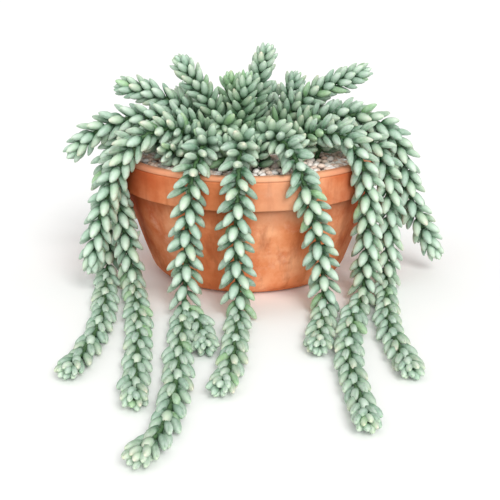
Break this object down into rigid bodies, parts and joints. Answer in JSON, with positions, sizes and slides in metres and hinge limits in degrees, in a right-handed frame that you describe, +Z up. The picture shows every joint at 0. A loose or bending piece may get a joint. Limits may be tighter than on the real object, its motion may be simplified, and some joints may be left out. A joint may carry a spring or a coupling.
{
  "type": "potted trailing succulent",
  "caption": "Trailing succulent with plump leaves in a low terracotta pot, its long stems hanging over the rim and lying along the surface.",
  "frame": {"origin": "middle of the underside of the pot's foot, on the surface that the pot stands on", "axes": "+Z up, -Y towards the front, where the long stems lie along the surface; +X is the pot's right seen from the front"},
  "size_m": [0.3782, 0.6615, 0.2242],
  "materials": {
    "terracotta": "unglazed fired clay",
    "soil": "potting soil",
    "pebble": "small pale pebbles",
    "leaf": "waxy blue-green leaf"
  },
  "bodies": {
    "root": {"pebble_layer": "pebble", "pot": "terracotta", "potting_soil": "soil", "stem_back_centre": "leaf", "stem_back_left": "leaf", "stem_back_right": "leaf", "stem_back_side": "leaf", "stem_front_centre": "leaf", "stem_front_left": "leaf", "stem_front_right": "leaf", "stem_left_fall_long": "leaf", "stem_left_fall_outer": "leaf", "stem_left_fall_short": "leaf", "stem_left_reach": "leaf", "stem_right_arch": "leaf", "stem_right_fall_long": "leaf", "stem_right_fall_outer": "leaf", "stem_right_fall_short": "leaf", "stem_short_back": "leaf", "stem_short_back_left": "leaf", "stem_short_back_right": "leaf", "stem_short_front": "leaf", "stem_short_inner": "leaf", "stem_short_left": "leaf", "stem_short_middle": "leaf", "stem_short_right": "leaf", "stem_up_back": "leaf", "stem_up_back_centre": "leaf", "stem_up_back_left": "leaf", "stem_up_back_right": "leaf", "stem_up_centre": "leaf", "stem_up_left": "leaf", "stem_up_right": "leaf", "stem_up_side_right": "leaf", "stem_up_tall_centre": "leaf", "stem_up_tall_left": "leaf", "stem_up_young": "leaf"}
  },
  "joints": []
}
